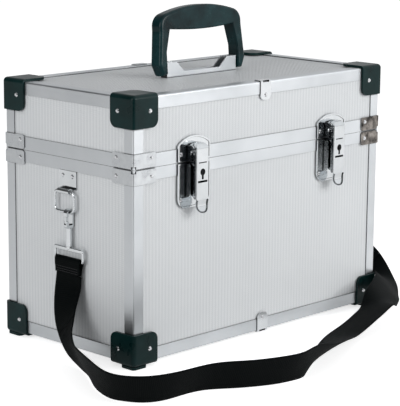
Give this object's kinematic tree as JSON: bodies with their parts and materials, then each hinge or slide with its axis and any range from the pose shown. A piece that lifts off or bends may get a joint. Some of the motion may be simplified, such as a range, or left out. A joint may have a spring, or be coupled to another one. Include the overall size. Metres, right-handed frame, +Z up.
{
  "type": "carrying case",
  "caption": "Rectangular carrying case with aluminium edges, black corner guards, hinged lid, key latches, folding top handle and a clip-on webbing shoulder strap.",
  "frame": {"origin": "middle of the floor panel's underside", "axes": "+X to the case's right seen from the latches, +Y towards the hinges, +Z up"},
  "size_m": [0.6009, 0.4025, 0.3947],
  "materials": {
    "satin_aluminium": "satin anodised extrusion and sheet",
    "textured_panel": "fine embossed light-grey laminate",
    "black_plastic": "semi-gloss moulded black",
    "chrome": "polished plate",
    "bright_steel": "zinc-plated",
    "bracket_steel": "dull plated steel with some brown discolouring",
    "blackened_steel": "dark lock cylinder seen in the shade of the keyhole",
    "handle_plastic": "satin moulded dark grey",
    "webbing": "woven nylon webbing"
  },
  "bodies": {
    "base": {"base_front_panel": "textured_panel", "base_back_panel": "textured_panel", "base_left_panel": "textured_panel", "base_right_panel": "textured_panel", "base_floor_panel": "textured_panel", "base_bottom_frame_left": "satin_aluminium", "base_bottom_frame_right": "satin_aluminium", "base_rim": "satin_aluminium", "base_corner_posts": "satin_aluminium", "base_corner_front_left": "black_plastic", "base_corner_front_right": "black_plastic", "base_corner_back_left": "black_plastic", "base_corner_back_right": "black_plastic", "hinge_base_leaves": "bright_steel", "hinge_pins": "bright_steel", "lock_plate_left": "chrome", "lock_plate_right": "chrome", "base_seam_brackets": "bracket_steel", "base_joint_clips": "chrome", "base_rivets": "bright_steel", "strap_plate_left": "chrome", "strap_plate_right": "chrome", "strap_webbing": "webbing"},
    "lid": {"lid_front_panel": "textured_panel", "lid_back_panel": "textured_panel", "lid_left_panel": "textured_panel", "lid_right_panel": "textured_panel", "lid_top_panel": "textured_panel", "lid_top_frame_left": "satin_aluminium", "lid_top_frame_right": "satin_aluminium", "lid_rim": "satin_aluminium", "lid_corner_posts": "satin_aluminium", "lid_corner_front_left": "black_plastic", "lid_corner_front_right": "black_plastic", "lid_corner_back_left": "black_plastic", "lid_corner_back_right": "black_plastic", "hinge_lid_leaves": "bright_steel", "latch_hinge_plate_left": "chrome", "latch_hinge_plate_right": "chrome", "lid_seam_brackets": "bracket_steel", "lid_joint_clips": "chrome", "lid_rivets": "bright_steel", "handle_bracket": "satin_aluminium", "handle_pins": "bright_steel", "latch_pins": "chrome"},
    "handle": {"handle_grip": "handle_plastic"},
    "hasp_left": {"hasp_left": "chrome"},
    "lock_left": {"lock_cylinder_left": "blackened_steel"},
    "ring_left": {"strap_ring_left": "chrome", "snap_hook_left": "chrome"},
    "gate_left": {"snap_gate_left": "chrome"},
    "eye_left": {"swivel_eye_left": "chrome", "strap_loop_left": "webbing"},
    "hasp_right": {"hasp_right": "chrome"},
    "lock_right": {"lock_cylinder_right": "blackened_steel"},
    "ring_right": {"strap_ring_right": "chrome", "snap_hook_right": "chrome"},
    "gate_right": {"snap_gate_right": "chrome"},
    "eye_right": {"swivel_eye_right": "chrome", "strap_loop_right": "webbing"}
  },
  "joints": [
    {"name": "lid_hinge", "type": "hinge", "parent": "base", "child": "lid", "pos_m": [0, 0.114, 0.2225], "axis": [-1, 0, 0], "range_deg": [0, 95]},
    {"name": "handle_fold", "type": "hinge", "parent": "lid", "child": "handle", "pos_m": [0, 0, 0.313], "axis": [1, 0, 0], "range_deg": [-80, 89]},
    {"name": "latch_left", "type": "hinge", "parent": "lid", "child": "hasp_left", "pos_m": [-0.121, -0.1185, 0.2379], "axis": [-1, 0, 0], "range_deg": [0, 110]},
    {"name": "lock_turn_left", "type": "hinge", "parent": "hasp_left", "child": "lock_left", "pos_m": [-0.121, -0.1185, 0.2115], "axis": [0, -1, 0], "range_deg": [0, 90]},
    {"name": "ring_swing_left", "type": "hinge", "parent": "base", "child": "ring_left", "pos_m": [-0.22, 0, 0.18495], "axis": [0, 1, 0], "range_deg": [0, 60]},
    {"name": "gate_open_left", "type": "hinge", "parent": "ring_left", "child": "gate_left", "pos_m": [-0.22425, -0.007, 0.14865], "axis": [0, 1, 0], "range_deg": [0, 28], "stiffness_Nm_per_rad": 0.01, "springref_deg": -11.46},
    {"name": "swivel_left", "type": "hinge", "parent": "ring_left", "child": "eye_left", "pos_m": [-0.22, -0.007, 0.118], "axis": [0, 0, 1], "range_deg": [-6, 6]},
    {"name": "latch_right", "type": "hinge", "parent": "lid", "child": "hasp_right", "pos_m": [0.121, -0.1185, 0.2379], "axis": [-1, 0, 0], "range_deg": [0, 110]},
    {"name": "lock_turn_right", "type": "hinge", "parent": "hasp_right", "child": "lock_right", "pos_m": [0.121, -0.1185, 0.2115], "axis": [0, -1, 0], "range_deg": [0, 90]},
    {"name": "ring_swing_right", "type": "hinge", "parent": "base", "child": "ring_right", "pos_m": [0.22, 0, 0.18495], "axis": [0, -1, 0], "range_deg": [0, 60]},
    {"name": "gate_open_right", "type": "hinge", "parent": "ring_right", "child": "gate_right", "pos_m": [0.22425, -0.007, 0.14865], "axis": [0, -1, 0], "range_deg": [0, 28], "stiffness_Nm_per_rad": 0.01, "springref_deg": -11.46},
    {"name": "swivel_right", "type": "hinge", "parent": "ring_right", "child": "eye_right", "pos_m": [0.22, -0.007, 0.118], "axis": [0, 0, 1], "range_deg": [-6, 6]}
  ]
}
